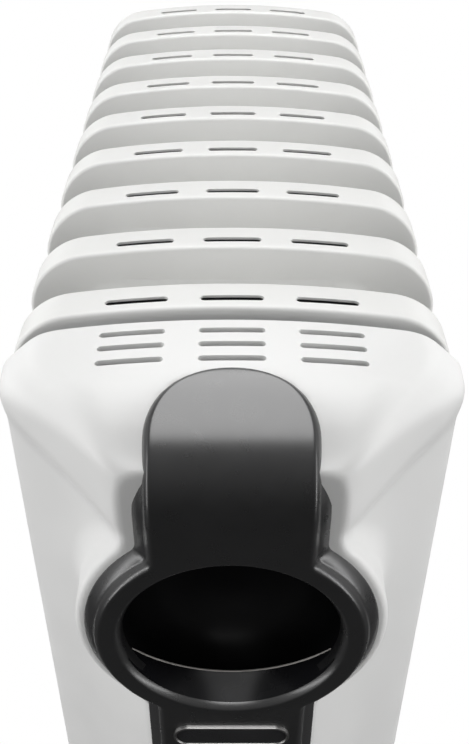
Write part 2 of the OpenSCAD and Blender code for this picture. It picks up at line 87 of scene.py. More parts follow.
# ---------------------------------------------------------------- camera, at the photograph's angle
FOCAL_PX = 952.6
IMAGE_TALL = 744
CAMERA_PITCH = math.radians(37.69)
CAMERA_LEAN = -0.0027
CAMERA_ACROSS = 0.3
CAMERA_AHEAD = 275.0
CAMERA_UP = 180.1
camera = bpy.data.cameras.new("camera")
camera.sensor_width = 36.0
camera.lens = FOCAL_PX / IMAGE_TALL * camera.sensor_width
camera_object = bpy.data.objects.new("camera", camera)
bpy.context.scene.collection.objects.link(camera_object)
camera_object.location = (CAMERA_ACROSS * MM, (Y_FIN - CAMERA_AHEAD) * MM, (CROWN + CAMERA_UP) * MM)
camera_object.rotation_euler = (math.pi / 2 - CAMERA_PITCH, CAMERA_LEAN, 0.0)
bpy.context.scene.camera = camera_object


# ---------------------------------------------------------------- materials
def new_material(name, color, roughness, **sockets):
    """Material with its node tree and its shader; sockets are set by their names."""
    m = bpy.data.materials.new(name)
    m.use_nodes = True
    shader = m.node_tree.nodes["Principled BSDF"]
    shader.inputs["Base Color"].default_value = (*color, 1.0)
    shader.inputs["Roughness"].default_value = roughness
    for socket, value in sockets.items():
        shader.inputs[socket].default_value = value
    return m, m.node_tree, shader


def noise(tree, scale, detail=2.0):
    """Noise that is fixed to the object."""
    coords = tree.nodes.new("ShaderNodeTexCoord")
    n = tree.nodes.new("ShaderNodeTexNoise")
    n.inputs["Scale"].default_value = scale
    n.inputs["Detail"].default_value = detail
    tree.links.new(coords.outputs["Object"], n.inputs["Vector"])
    return n


def ramp(tree, source, low, high, start=0.3, end=0.7):
    """Colour ramp between two colours, driven by a factor."""
    r = tree.nodes.new("ShaderNodeValToRGB")
    r.color_ramp.elements[0].position = start
    r.color_ramp.elements[0].color = (*low, 1.0)
    r.color_ramp.elements[1].position = end
    r.color_ramp.elements[1].color = (*high, 1.0)
    tree.links.new(source, r.inputs["Fac"])
    return r


def mottled(tree, shader, color, spread, scale):
    """Slight colour variation about a base colour."""
    n = noise(tree, scale)
    low = [c * (1 - spread) for c in color]
    high = [min(1.0, c * (1 + spread)) for c in color]
    r = ramp(tree, n.outputs["Fac"], low, high)
    tree.links.new(r.outputs["Color"], shader.inputs["Base Color"])


def grained(tree, shader, scale, depth, strength):
    """Fine bump, depth in millimetres."""
    n = noise(tree, scale)
    b = tree.nodes.new("ShaderNodeBump")
    b.inputs["Strength"].default_value = strength
    b.inputs["Distance"].default_value = depth * MM
    tree.links.new(n.outputs["Fac"], b.inputs["Height"])
    tree.links.new(b.outputs["Normal"], shader.inputs["Normal"])


def rough_varied(tree, shader, low, high, scale):
    """Roughness that wanders between two values."""
    n = noise(tree, scale, 4.0)
    r = ramp(tree, n.outputs["Fac"], (low,) * 3, (high,) * 3)
    tree.links.new(r.outputs["Color"], shader.inputs["Roughness"])


def material(name, color, rough, spread, scale, grain, depth, strength, **sockets):
    """Finish from its colour, roughness, colour spread and scale, and grain's scale, depth and strength."""
    m, tree, shader = new_material(name, color, rough, **sockets)
    mottled(tree, shader, color, spread, scale)
    grained(tree, shader, grain, depth, strength)
    rough_varied(tree, shader, max(0.02, rough * 0.85), min(1.0, rough * 1.15), scale * 2)
    return m


FINISH = {
    "enamel": material("white_enamel", (0.68, 0.68, 0.668), 0.34, 0.008, 40, 700, 0.02, 0.10),
    # near-black for the inside of the fins: painted shade seen through the slots
    "painted_shade": material("painted_shade_fin_inside", (0.035, 0.035, 0.035), 0.6, 0.10, 60, 700, 0.03, 0.2),
    "white": material("white_plastic", (0.68, 0.68, 0.674), 0.36, 0.006, 30, 1500, 0.01, 0.10),
    "satin": material("satin_black", (0.012, 0.012, 0.0125), 0.30, 0.10, 80, 2200, 0.015, 0.08,
                      **{"Coat Weight": 1.0, "Coat Roughness": 0.26, "Coat IOR": 1.75}),
    "gloss": material("gloss_black", (0.006, 0.006, 0.007), 0.10, 0.10, 40, 500, 0.004, 0.05,
                      **{"Specular IOR Level": 0.25}),
    "lip": material("lip_black", (0.006, 0.006, 0.007), 0.28, 0.10, 40, 500, 0.004, 0.05,
                    **{"Specular IOR Level": 0.20}),
    # light grey for the strip along the grip lip's curved edge: a painted highlight
    "edge": material("painted_highlight_lip", (0.42, 0.40, 0.38), 0.35, 0.10, 40, 900, 0.006, 0.06),
    "bowl": material("bowl_black", (0.008, 0.008, 0.0085), 0.34, 0.10, 40, 900, 0.006, 0.06,
                     **{"Specular IOR Level": 0.10}),
    "tray": material("tray_plastic", (0.5, 0.5, 0.49), 0.5, 0.02, 60, 900, 0.02, 0.15),
    "badge": material("badge_metal", (0.03, 0.03, 0.032), 0.3, 0.10, 60, 1800, 0.01, 0.2, Metallic=0.3),
    "badge_rim": material("badge_rim", (0.36, 0.355, 0.35), 0.35, 0.05, 60, 1800, 0.004, 0.08, Metallic=1.0),
    "paint": material("dial_paint", (0.75, 0.75, 0.74), 0.5, 0.03, 200, 2000, 0.01, 0.15),
    "knob": material("knob_black", (0.022, 0.022, 0.024), 0.42, 0.08, 90, 1800, 0.02, 0.25),
    "zinc": material("zinc_steel", (0.62, 0.63, 0.66), 0.32, 0.08, 200, 900, 0.02, 0.2, Metallic=1.0),
    "brass": material("brass", (0.72, 0.52, 0.22), 0.3, 0.06, 150, 900, 0.01, 0.2, Metallic=1.0),
    "dark_steel": material("element_sheath", (0.22, 0.22, 0.23), 0.45, 0.10, 150, 700, 0.02, 0.3,
                           Metallic=1.0),
    "rubber_red": material("gasket_rubber", (0.30, 0.05, 0.03), 0.7, 0.10, 150, 900, 0.03, 0.3),
    "ivory": material("ivory_plastic", (0.70, 0.66, 0.55), 0.45, 0.03, 60, 900, 0.02, 0.2),
    "copper": material("copper_bulb", (0.72, 0.36, 0.22), 0.28, 0.06, 150, 700, 0.01, 0.2, Metallic=1.0),
    "wire": material("wire_sleeve", (0.22, 0.09, 0.04), 0.6, 0.08, 200, 900, 0.03, 0.3),
    "bracket": material("bracket_steel", (0.78, 0.78, 0.765), 0.4, 0.015, 60, 700, 0.03, 0.2),
    "castor": material("castor_plastic", (0.03, 0.03, 0.032), 0.48, 0.10, 90, 1300, 0.03, 0.3),
    "wheel": material("wheel_plastic", (0.045, 0.045, 0.047), 0.55, 0.12, 120, 1000, 0.04, 0.35),
    "black": material("black_plastic", (0.022, 0.022, 0.023), 0.45, 0.10, 90, 1300, 0.02, 0.25),
    "lens": material("amber_lens", (0.85, 0.22, 0.02), 0.12, 0.04, 200, 900, 0.01, 0.1,
                     **{"Transmission Weight": 0.35}),
    "lamp": material("lamp_glass", (0.9, 0.85, 0.8), 0.08, 0.02, 200, 900, 0.005, 0.05,
                     **{"Transmission Weight": 0.7}),
}

CAD_FINISH = {
    "enamelled_steel": "enamel", "white_enamel": "enamel", "white_plastic": "white",
    "satin_black": "satin", "gloss_black": "gloss", "badge_metal": "badge", "knob_black": "knob",
    "zinc_steel": "zinc", "brass": "brass", "element_sheath": "dark_steel",
    "gasket_rubber": "rubber_red", "screw_steel": "zinc", "ivory_plastic": "ivory",
    "copper_bulb": "copper", "wire_sleeve": "wire", "bracket_steel": "bracket",
    "castor_plastic": "castor", "wheel_plastic": "wheel", "black_plastic": "black",
    "amber_lens": "lens", "lamp_glass": "lamp",
}
for part in frame["record"]["subparts"]:
    mesh_object = frame["nodes"][part["node"]]
    finish = FINISH[CAD_FINISH[part["material_slot"]]]
    if mesh_object.material_slots:
        for s in mesh_object.material_slots:
            s.material = finish
    else:
        mesh_object.data.materials.append(finish)

# ---------------------------------------------------------------- mesh helpers
def place(x, v, z):
    """World point from millimetres: across, ahead of the front fin's slots, and up from the crown."""
    x, v, z = np.broadcast_arrays(x, v, z)
    return np.stack([x * MM, (Y_FIN - v) * MM, (CROWN + z) * MM], -1)


def add_piece(name, points, faces, finish, body="heater", nodes=(), sharp=35, weld=1e-6):
    """A mesh piece from world points, with outward faces, smooth shading and sharp edges."""
    mesh = bpy.data.meshes.new(name)
    mesh.from_pydata([tuple(map(float, p)) for p in points], [], [tuple(map(int, f)) for f in faces])
    b = bmesh.new()
    b.from_mesh(mesh)
    bmesh.ops.remove_doubles(b, verts=b.verts, dist=weld)
    bmesh.ops.recalc_face_normals(b, faces=b.faces)
    b.to_mesh(mesh)
    b.free()
    return finish_piece(name, mesh, finish, body, nodes, sharp)


def finish_piece(name, mesh, finish, body, nodes, sharp):
    """The mesh becomes an object on a moving body; without a finish it keeps its own materials."""
    if finish:
        mesh.materials.clear()
        mesh.materials.append(FINISH[finish])
    shade(mesh, sharp)
    o = bpy.data.objects.new(name, mesh)
    bpy.context.scene.collection.objects.link(o)
    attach(o, body)
    if nodes:
        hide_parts(*nodes)
    return o


def shade(mesh, sharp):
    """Smooth shading, with edges sharper than the angle in degrees kept sharp."""
    mesh.shade_smooth()
    mesh.set_sharp_from_angle(angle=math.radians(sharp))


def apply_modifiers(o, sharp):
    """The object's mesh becomes its evaluated mesh."""
    graph = bpy.context.evaluated_depsgraph_get()
    mesh = bpy.data.meshes.new_from_object(o.evaluated_get(graph), depsgraph=graph)
    o.modifiers.clear()
    o.data = mesh
    shade(mesh, sharp)


def cut(o, cutter, sharp=35):
    """Takes the closed mesh cutter away from o."""
    m = o.modifiers.new("cut", "BOOLEAN")
    m.operation = "DIFFERENCE"
    m.solver = "EXACT"
    m.object = cutter
    bpy.context.view_layer.update()
    apply_modifiers(o, sharp)
    bpy.data.objects.remove(cutter, do_unlink=True)


def loose_object(name, points, faces):
    """A plain closed mesh, for a cutter."""
    mesh = bpy.data.meshes.new(name)
    mesh.from_pydata([tuple(map(float, p)) for p in points], [], [tuple(map(int, f)) for f in faces])
    b = bmesh.new()
    b.from_mesh(mesh)
    bmesh.ops.recalc_face_normals(b, faces=b.faces)
    b.to_mesh(mesh)
    b.free()
    o = bpy.data.objects.new(name, mesh)
    bpy.context.scene.collection.objects.link(o)
    return o


def arc(cx, cz, r, a0, a1, n):
    """Points from angle a0 to a1, in degrees, the last one left out."""
    a = np.radians(a0 + (a1 - a0) * np.arange(n) / n)
    return np.stack([cx + r * np.cos(a), cz + r * np.sin(a)], -1)


def bridge(rings, n, first=0, closed=True):
    """Quads between neighbouring rings of n points."""
    faces = []
    last = n if closed else n - 1
    for r in range(rings - 1):
        for i in range(last):
            a, b = first + r * n + i, first + r * n + (i + 1) % n
            faces.append((a, b, b + n, a + n))
    return faces


def inside_loop(points, loop):
    """Which points lie inside a closed loop."""
    x, z = points[:, 0:1], points[:, 1:2]
    x0, z0 = loop[:, 0], loop[:, 1]
    x1, z1 = np.roll(x0, -1), np.roll(z0, -1)
    crosses = (z0 > z) != (z1 > z)
    with np.errstate(divide="ignore", invalid="ignore"):
        at = x0 + (z - z0) * (x1 - x0) / (z1 - z0)
    return (np.sum(crosses & (x < at), axis=1) % 2).astype(bool)


def fill(outer, holes=(), step=4.0, margin=0.6):
    """Triangles over the area inside outer and outside holes, with a grid of points in it."""
    loops = [outer, *holes]
    xs = np.arange(outer[:, 0].min() + 0.5 * step, outer[:, 0].max(), step)
    zs = np.arange(outer[:, 1].min() + 0.5 * step, outer[:, 1].max(), step)
    grid = np.stack(np.meshgrid(xs, zs, indexing="ij"), -1).reshape(-1, 2)
    keep = inside_loop(grid, outer)
    for h in holes:
        keep &= ~inside_loop(grid, h)
    grid = grid[keep]
    border = np.concatenate(loops)
    near = np.min(np.hypot(*(grid[:, None, :] - border[None]).transpose(2, 0, 1)), axis=1)
    grid = grid[near > margin * step]
    edges, start = [], 0
    for loop in loops:
        n = len(loop)
        edges += [(start + i, start + (i + 1) % n) for i in range(n)]
        start += n
    points = np.concatenate([border, grid])
    verts, _, faces, *_ = delaunay_2d_cdt([Vector(p) for p in points], edges, [], 0, 1e-4)
    verts = np.array([tuple(v) for v in verts])
    faces = np.array([tuple(f) for f in faces])
    middle = verts[faces].mean(axis=1)
    keep = inside_loop(middle, outer)
    for h in holes:
        keep &= ~inside_loop(middle, h)
    return verts, faces[keep]


class Builder:
    """Collects rings and patches into one mesh."""

    def __init__(self):
        self.points, self.faces, self.count = [], [], 0

    def rings(self, rings, closed=True):
        n = len(rings[0])
        self.faces += bridge(len(rings), n, self.count, closed)
        self.points += [np.asarray(r) for r in rings]
        self.count += n * len(rings)

    def patch(self, points, faces):
        self.points.append(np.asarray(points))
        self.faces += [tuple(int(i) + self.count for i in f) for f in faces]
        self.count += len(points)

    def all_points(self):
        return np.concatenate(self.points)


def turned(build, at, axis, profile, n=64, flutes=0, depth=0.0, ends=True):
    """Rings about an axis through a point in millimetres.

    profile holds radius and distance along, and a third item where the flutes run.
    """
    a = 2 * math.pi * np.arange(n) / n
    wave = 1 - depth * (0.5 + 0.5 * np.cos(flutes * a)) ** 2
    first = build.count
    rings = []
    for r, h, *fluted in profile:
        radius = r * (wave if fluted else np.ones(n))
        c, s, along = radius * np.cos(a), radius * np.sin(a), np.full(n, float(h))
        local = {"x": (along, c, s), "-y": (c, -along, s), "z": (c, s, along)}[axis]
        rings.append((np.stack(local, -1) + np.array(at)) * MM)
    build.rings(rings)
    if ends:
        build.faces.append(tuple(range(first, first + n)))
        build.faces.append(tuple(range(build.count - n, build.count)))


def hull_loop(circles, inset=0.0, n=72):
    """Rounded convex outline about a list of circles, each an x, a z and a radius."""
    a = 2 * math.pi * (np.arange(n) + 0.5) / n
    u = np.stack([np.cos(a), np.sin(a)], -1)
    c = np.array([k[:2] for k in circles], float)
    r = np.array([max(k[2] - inset, 0.05) for k in circles])
    best = np.argmax(c @ u.T + r[:, None], axis=0)
    return c[best] + r[best][:, None] * u


def rounded_edge(low, high, radius, steps=4):
    """Inset and height pairs of a slab with rounded edges."""
    turn = [math.radians(90 * k / steps) for k in range(steps + 1)]
    rise = [(radius * (1 - math.sin(t)), low + radius * (1 - math.cos(t))) for t in turn]
    return rise + [(i, low + high - h) for i, h in rise[::-1]]


def slab(build, circles, profile, to_world, n=72):
    """Stacked outlines about circles, closed at both ends."""
    first = build.count
    build.rings([to_world(hull_loop(circles, inset, n), h) for inset, h in profile])
    build.faces.append(tuple(range(first, first + n)))
    build.faces.append(tuple(range(build.count - n, build.count)))


def facing_front(loop, ahead):
    """Outline in the X-Z plane, in millimetres from the crown, at a distance ahead."""
    return place(loop[:, 0], ahead, loop[:, 1])


def smooth_step(t):
    """Rises smoothly from 0 to 1 as t does, and stays level outside."""
    t = np.clip(t, 0.0, 1.0)
    return t * t * (3 - 2 * t)


def surface_net(field, axes):
    """Quads on the zero surface of a signed distance field, sampled over a grid."""
    grid = np.stack(np.meshgrid(*axes, indexing="ij"), -1)
    value = field(grid)
    inside = value < 0
    shape = [n - 1 for n in value.shape]
    total, count = np.zeros((*shape, 3)), np.zeros(shape)
    crossings = []
    for axis in range(3):
        a, b = [slice(None)] * 3, [slice(None)] * 3
        a[axis], b[axis] = slice(None, -1), slice(1, None)
        a, b = tuple(a), tuple(b)
        cross = inside[a] != inside[b]
        t = np.where(cross, value[a] / np.where(cross, value[a] - value[b], 1.0), 0.0)
        point = np.where(cross[..., None], grid[a] + t[..., None] * (grid[b] - grid[a]), 0.0)
        others = [k for k in range(3) if k != axis]
        for i in (0, 1):
            for j in (0, 1):
                s = [slice(None)] * 3
                s[others[0]] = slice(i, i + shape[others[0]])
                s[others[1]] = slice(j, j + shape[others[1]])
                total += point[tuple(s)]
                count += cross[tuple(s)]
        crossings.append((cross, inside[a], others))
    active = count > 0
    index = np.full(shape, -1)
    index[active] = np.arange(active.sum())
    points = total[active] / count[active][:, None]
    faces = []
    for axis, (cross, from_inside, others) in enumerate(crossings):
        s = [slice(None)] * 3
        for k in others:
            s[k] = slice(1, shape[k])
        where = np.argwhere(cross[tuple(s)])
        where[:, others] += 1
        flip = from_inside[tuple(where.T)] == (axis == 1)
        corner = []
        for i, j in ((1, 1), (0, 1), (0, 0), (1, 0)):
            w = where.copy()
            w[:, others[0]] -= i
            w[:, others[1]] -= j
            corner.append(index[tuple(w.T)])
        quad = np.stack(corner, -1)
        quad[flip] = quad[flip][:, ::-1]
        faces.append(quad)
    return points, np.concatenate(faces)


def settle(points, field, steps=4):
    """Moves points onto the zero surface of a field."""
    h = 0.05
    for _ in range(steps):
        slope = np.stack([field(points + h * e) - field(points - h * e) for e in np.eye(3)], -1) / (2 * h)
        size = np.maximum(np.sum(slope ** 2, axis=-1), 0.2)
        points = points - (np.clip(field(points), -1, 1) / size)[:, None] * slope
    return points


def smooth_max(a, b, k):
    """The larger of two fields, rounded over a width k where they meet."""
    h = np.maximum(k - np.abs(a - b), 0.0) / k
    return np.maximum(a, b) + h * h * k * 0.25


def smooth_min(a, b, k):
    return -smooth_max(-a, -b, k)


# ---------------------------------------------------------------- fins
CROWN_R = 400.0
CORNER_R = 25.0
FOOT_R = 14.0
HALF_W = FIN_W / 2
CORNER_X = HALF_W - CORNER_R
CORNER_Z = -CROWN_R + math.sqrt((CROWN_R - CORNER_R) ** 2 - CORNER_X ** 2)
CROWN_A = math.degrees(math.atan2(CORNER_Z + CROWN_R, CORNER_X))
RIM = 8.0
RIM_EDGE = 1.5
FACE_INSET = 3.2
SHEET = 1.0
FIN_LOW = FOOT - CROWN
HEADER_ZS = (-36.0, FIN_LOW + 36.0)
HEADER_HALF = (60.0, 22.0)
HEADER_RISE = 4.9
HEADER_SLOPE = 7.0
GALLERY_RISE = 1.6
GALLERY_HALF = 13.0
GALLERY_SLOPE = 6.0
GALLERY_FADE = 30.0
SLOT_LENGTH = 22.0
SLOT_W = 3.2
# a cutter goes this deep from the crown and from the foot, and this far past the outside
SLOT_REACH_TOP = 6.0
SLOT_REACH_FOOT = 3.0
CUT_PAST = 2.0


def fin_loop(inset):
    """Closed outline of a fin, moved in by inset."""
    r, rf = CORNER_R - inset, max(FOOT_R - inset, 1.0)
    xf, zf = HALF_W - FOOT_R, FIN_LOW + FOOT_R
    return np.concatenate([
        arc(CORNER_X, CORNER_Z, r, 0, CROWN_A, 14),
        arc(0, -CROWN_R, CROWN_R - inset, CROWN_A, 180 - CROWN_A, 46),
        arc(-CORNER_X, CORNER_Z, r, 180 - CROWN_A, 180, 14),
        arc(-xf, zf, rf, 180, 270, 8),
        arc(xf, zf, rf, 270, 360, 8)])


def pill_distance(x, z, cz, half_w, half_h):
    """Signed distance to a level pill at height cz."""
    dx = np.maximum(np.abs(x) - (half_w - half_h), 0.0)
    return np.hypot(dx, z - cz) - half_h


def fin_relief(x, z):
    """How far the pressed face stands out of the rim's plane."""
    rise = np.zeros_like(x)
    for cz in HEADER_ZS:
        depth = -pill_distance(x, z, cz, *HEADER_HALF)
        rise = np.maximum(rise, HEADER_RISE * smooth_step(depth / HEADER_SLOPE))
    below = smooth_step((HEADER_ZS[0] - z) / GALLERY_FADE)
    between = below * smooth_step((z - HEADER_ZS[1]) / GALLERY_FADE)
    for cx in SLOT_XS:
        column = smooth_step((GALLERY_HALF - np.abs(x - cx)) / GALLERY_SLOPE)
        rise = np.maximum(rise, GALLERY_RISE * column * between)
    return rise


def slot_cutter(name, v, z0, z1, width):
    """Upright pills that cut slots in all three columns; v may be one place or several rows."""
    build = Builder()
    r = width / 2
    half = SLOT_LENGTH / 2 - r
    loop = np.concatenate([arc(half, 0, r, -90, 90, 8), arc(-half, 0, r, 90, 270, 8)])
    n = len(loop)
    for row in np.atleast_1d(v):
        for x in SLOT_XS:
            rings = [place(loop[:, 0] + x, loop[:, 1] + row, np.full(n, z)) for z in (z0, z1)]
            first = build.count
            build.rings(rings)
            build.faces.append(tuple(range(first, first + n)))
            build.faces.append(tuple(range(first + n, first + 2 * n)))
    return loose_object(name, build.all_points(), build.faces)


def fin_mesh():
    """One fin, made at the front fin's place."""
    build = Builder()
    turn = [math.radians(a) for a in range(90, -1, -18)]
    edge = [(RIM_EDGE * (1 - math.cos(a)), RIM - RIM_EDGE * (1 - math.sin(a))) for a in turn]
    flat = [(0.0, RIM * part) for part in (0.4, 0.0, -0.4)]
    profile = [(FACE_INSET, RIM), *edge, *flat, *[(i, -v) for i, v in edge[::-1]], (FACE_INSET, -RIM)]
    build.rings([place(fin_loop(i)[:, 0], v - SLOT_AHEAD, fin_loop(i)[:, 1]) for i, v in profile])
    verts, faces = fill(fin_loop(FACE_INSET), step=3.5)
    rise = fin_relief(verts[:, 0], verts[:, 1])
    for side in (1, -1):
        build.patch(place(verts[:, 0], side * (RIM + rise) - SLOT_AHEAD, verts[:, 1]), faces)
    build.inner_start = len(build.faces)
    inner = fin_loop(SHEET)
    deep = RIM - SHEET
    n = len(inner)
    first = build.count
    build.rings([place(inner[:, 0], v - SLOT_AHEAD, inner[:, 1]) for v in (deep, -deep)])
    build.faces.append(tuple(range(first, first + n)))
    build.faces.append(tuple(range(first + n, first + 2 * n)))
    return build


fin_build = fin_mesh()
fin_object = add_piece("fin_shell_1", fin_build.all_points(), fin_build.faces, "enamel",
                       nodes=["fin_1"])
fin_object.data.materials.append(FINISH["painted_shade"])
# the inside of the sheet, painted near-black: painted shade for the dark seen through the slots
for polygon in list(fin_object.data.polygons)[fin_build.inner_start:]:
    polygon.material_index = 1
    polygon.flip()
fin_object.data.update()
cut(fin_object, slot_cutter("slots", 0.0, -SLOT_REACH_TOP, CUT_PAST, SLOT_W))
cut(fin_object, slot_cutter("slots", 0.0, FIN_LOW - CUT_PAST, FIN_LOW + SLOT_REACH_FOOT, SLOT_W))
for number, y in enumerate(FIN_YS[1:], 2):
    copy = fin_object.data.copy()
    copy.transform(Matrix.Translation((0, (y - FIN_YS[0]) * MM, 0)))
    finish_piece(f"fin_shell_{number}", copy, None, "heater", [f"fin_{number}"], 35)

# ---------------------------------------------------------------- front housing
HOUSE_BASE = HOUSE_LOW - CROWN
WALL = 2.5
# half the gap at the parting line
SEAM = 0.3
# the form runs on this far behind the rear edge, where it is cut off
PAST_REAR = 2.5
# steps of the sampling grid, coarser in height below a level where the form is plain
GRID = 1.5
COARSE = 4.0
PLAIN_BELOW = -190.0
GRID_HALF_W = 81.0
GRID_TOP = 4.0
# the outline draws in a little towards the rear
WIDE_V = 24.5
TAPER = 0.2
TAPER_LENGTH = 12.0
# across plus ahead, on the slanting sides
PLAN_SUM = 103.0
HOOD_R = 30.0
HOOD_V = 38.0
HOOD_Z = -32.0
HOOD_SLOPE = 0.075
# the crease under the hood, at its sides, and how it falls towards the middle
CREASE_Z = -25.5
CREASE_FALL = 0.518
CROWN_HALF = 70.0
# rounding between the hood and its slanting sides, sharper towards the front
ROUND_REAR = 12.0
ROUND_FRONT = 4.0
ROUND_V = 40.0
ROUND_LENGTH = 28.0
# the wings are set in under the hood, and flush with it at the sides
WING_TOP = -20.0
WING_STEP = 4.5
WING_FADE = 30.0
COLLAR_R = 54.2
MOUTH_R = 46.0
MOUTH_V = 60.0
# the hood stays this far behind the fascia's face, and this far past its edges
UNDER = 3.0
UNDER_SIDE = 0.5
# how widely the parts of the form run into each other
HOOD_EDGE = 2.0
CREASE_EDGE = 9.0
WING_EDGE = 4.0
FRONT_EDGE = 3.0
HOOD_TO_WING = 10.0
COLLAR_TO_BODY = 5.0
BASE_EDGE = 8.0
STRIP_HW = 25.0
BEND_R = 37.0
BEND_V = FACE_V - BEND_R
BEND_Z = -38.2
TIP_Q = BEND_Z + BEND_R * math.pi / 2 - STRIP_HW


def outline_distance(x, z):
    """Signed distance to the fin's outline, without its foot."""
    ax = np.abs(x)
    cap = ax * (CORNER_Z + CROWN_R) < CORNER_X * (z + CROWN_R)
    crown = np.hypot(ax, z + CROWN_R) - CROWN_R
    corner = np.hypot(ax - CORNER_X, z - CORNER_Z) - CORNER_R
    return np.where(cap, crown, np.where(z > CORNER_Z, corner, ax - HALF_W))


def rounded_corner(a, b):
    """Distance out from a corner's centre: round where both are out of it, and straight beside it."""
    return np.where((a > 0) & (b > 0), np.hypot(a, b), np.maximum(a, b))


def housing_field(p):
    """Signed distance to the housing's outer form."""
    x, v, z = p[..., 0], p[..., 1], p[..., 2]
    ax = np.abs(x)
    outline = outline_distance(x, z) + TAPER * np.clip((WIDE_V - v) / TAPER_LENGTH, 0.0, 1.0)
    drop = CROWN_R - np.sqrt(CROWN_R ** 2 - np.minimum(ax, CROWN_HALF) ** 2)
    raised = z + drop - HOOD_SLOPE * np.maximum(HOOD_V - v, 0.0)
    roll = rounded_corner(v - HOOD_V, raised - HOOD_Z) - HOOD_R
    hood_plan = (ax + v - PLAN_SUM) / math.sqrt(2)
    crease = CREASE_Z - CREASE_FALL * (HALF_W - ax) - z
    rounding = ROUND_REAR - (ROUND_REAR - ROUND_FRONT) * smooth_step((v - ROUND_V) / ROUND_LENGTH)
    hood = smooth_max(smooth_max(outline, roll, HOOD_EDGE), hood_plan, rounding)
    hood = smooth_max(hood, crease, CREASE_EDGE)
    # nothing of it stands out through the strip
    bend_v, bend_z = v - BEND_V, z - BEND_Z
    strip = rounded_corner(bend_v, bend_z) - BEND_R
    unrolled = np.where(bend_z <= 0, z, BEND_Z + BEND_R * np.arctan2(bend_z, np.maximum(bend_v, 1e-6)))
    inward = STRIP_HW + UNDER_SIDE - np.hypot(x, np.maximum(unrolled - TIP_Q, 0.0))
    under = np.minimum(strip + UNDER, inward)
    hood = np.maximum(hood, np.minimum(under, bend_v))
    step = WING_STEP * smooth_step((HALF_W - ax) / WING_FADE)
    wing_plan = (ax + v - PLAN_SUM + step) / math.sqrt(2)
    wing = smooth_max(smooth_max(outline, wing_plan, WING_EDGE), v - HOUSE_FRONT, FRONT_EDGE)
    wing = smooth_max(wing, z - WING_TOP, WING_EDGE)
    collar = smooth_max(np.hypot(x, z - RING_Z) - COLLAR_R, v - HOUSE_FRONT, FRONT_EDGE)
    body = smooth_min(smooth_min(hood, wing, HOOD_TO_WING), collar, COLLAR_TO_BODY)
    body = smooth_max(np.maximum(body, v - HOUSE_FRONT), HOUSE_BASE - z, BASE_EDGE)
    return np.maximum(body, HOUSE_REAR - PAST_REAR - v)


def housing_part(name, points, faces, nodes, keep_above):
    """One moulding of the housing: the surface on one side of the parting line, made thick.

    It is cut off straight at its rear edge, where it stands on the bulkhead plate.
    """
    o = add_piece(name, place(points[:, 0], points[:, 1], points[:, 2]), faces, "white",
                  nodes=nodes, sharp=60)
    b = bmesh.new()
    b.from_mesh(o.data)
    seam_z = CROWN + SPLIT_Z + (SEAM if keep_above else -SEAM)
    bmesh.ops.bisect_plane(b, geom=b.verts[:] + b.edges[:] + b.faces[:], dist=1e-6,
                           plane_co=(0, 0, seam_z * MM), plane_no=(0, 0, 1),
                           clear_inner=keep_above, clear_outer=not keep_above)
    bmesh.ops.bisect_plane(b, geom=b.verts[:] + b.edges[:] + b.faces[:], dist=1e-6,
                           plane_co=(0, (Y_FIN - HOUSE_REAR) * MM, 0), plane_no=(0, 1, 0),
                           clear_outer=True)
    b.to_mesh(o.data)
    b.free()
    thick = o.modifiers.new("wall", "SOLIDIFY")
    thick.thickness = WALL * MM
    thick.offset = -1.0
    bpy.context.view_layer.update()
    apply_modifiers(o, 50)
    return o


def housing():
    """The housing's two mouldings; gives back the upper one, for its vents."""
    across = np.arange(-GRID_HALF_W, GRID_HALF_W + 1.0, GRID)
    ahead = np.arange(HOUSE_REAR - PAST_REAR - 2 * GRID, HOUSE_FRONT + COARSE, GRID)
    plain = np.arange(HOUSE_BASE - COARSE, PLAIN_BELOW, COARSE)
    axes = (across, ahead, np.concatenate([plain, np.arange(PLAIN_BELOW, GRID_TOP, GRID)]))
    points, faces = surface_net(housing_field, axes)
    points = settle(points, housing_field)
    # open where the grip cup passes through the front
    middle = points[faces].mean(axis=1)
    mouth = (np.hypot(middle[:, 0], middle[:, 2] - RING_Z) < MOUTH_R) & (middle[:, 1] > MOUTH_V)
    faces = faces[~mouth]
    used = np.unique(faces)
    renumber = np.full(len(points), -1)
    renumber[used] = np.arange(len(used))
    points, faces = points[used], renumber[faces]
    upper = housing_part("housing_hood", points, faces, ["front_housing", "grip_collar"], True)
    housing_part("housing_lower", points, faces, ["lower_housing"], False)
    return upper


VENT_VS = (18.1, 25.25, 32.4)
VENT_W = 2.7
VENT_REACH = 12.0
cut(housing(), slot_cutter("vents", VENT_VS, -VENT_REACH, 3.0, VENT_W), 50)

# a tray under the vents
TRAY_X = 44.0
TRAY_R = 1.5
TRAY_LOW = -12.5
TRAY_HIGH = -10.5
tray = Builder()
tray_vs = (VENT_VS[0] - 1.0, VENT_VS[-1] + 2.0)
tray_corners = [(x, v, TRAY_R) for x in (-TRAY_X, TRAY_X) for v in tray_vs]
slab(tray, tray_corners, rounded_edge(TRAY_LOW, TRAY_HIGH, 0.4),
     lambda loop, h: place(loop[:, 0], loop[:, 1], h))
add_piece("vent_tray", tray.all_points(), tray.faces, "tray")

# ---------------------------------------------------------------- fascia
RING_FACE_R = 45.3
RING_HOLE_R = 38.0
FILLET = 5.0
STRIP_BASE = STRIP_LOW - CROWN
BASE_R = 10.0
# the strip's sides spread a little more than the ring
STRIP_SPREAD = 1.1


def on_strip(x, q, n):
    """Point on the fascia: across, along its unrolled height, and out from its face."""
    turn = np.maximum(q - BEND_Z, 0.0) / BEND_R
    straight = q <= BEND_Z
    v = np.where(straight, FACE_V + n, BEND_V + (BEND_R + n) * np.cos(turn))
    z = np.where(straight, q, BEND_Z + (BEND_R + n) * np.sin(turn))
    return place(x, v, z)


def line(a, b, n):
    """Points from a to b, the last one left out."""
    t = np.arange(n)[:, None] / n
    return np.array(a) + (np.array(b) - np.array(a)) * t


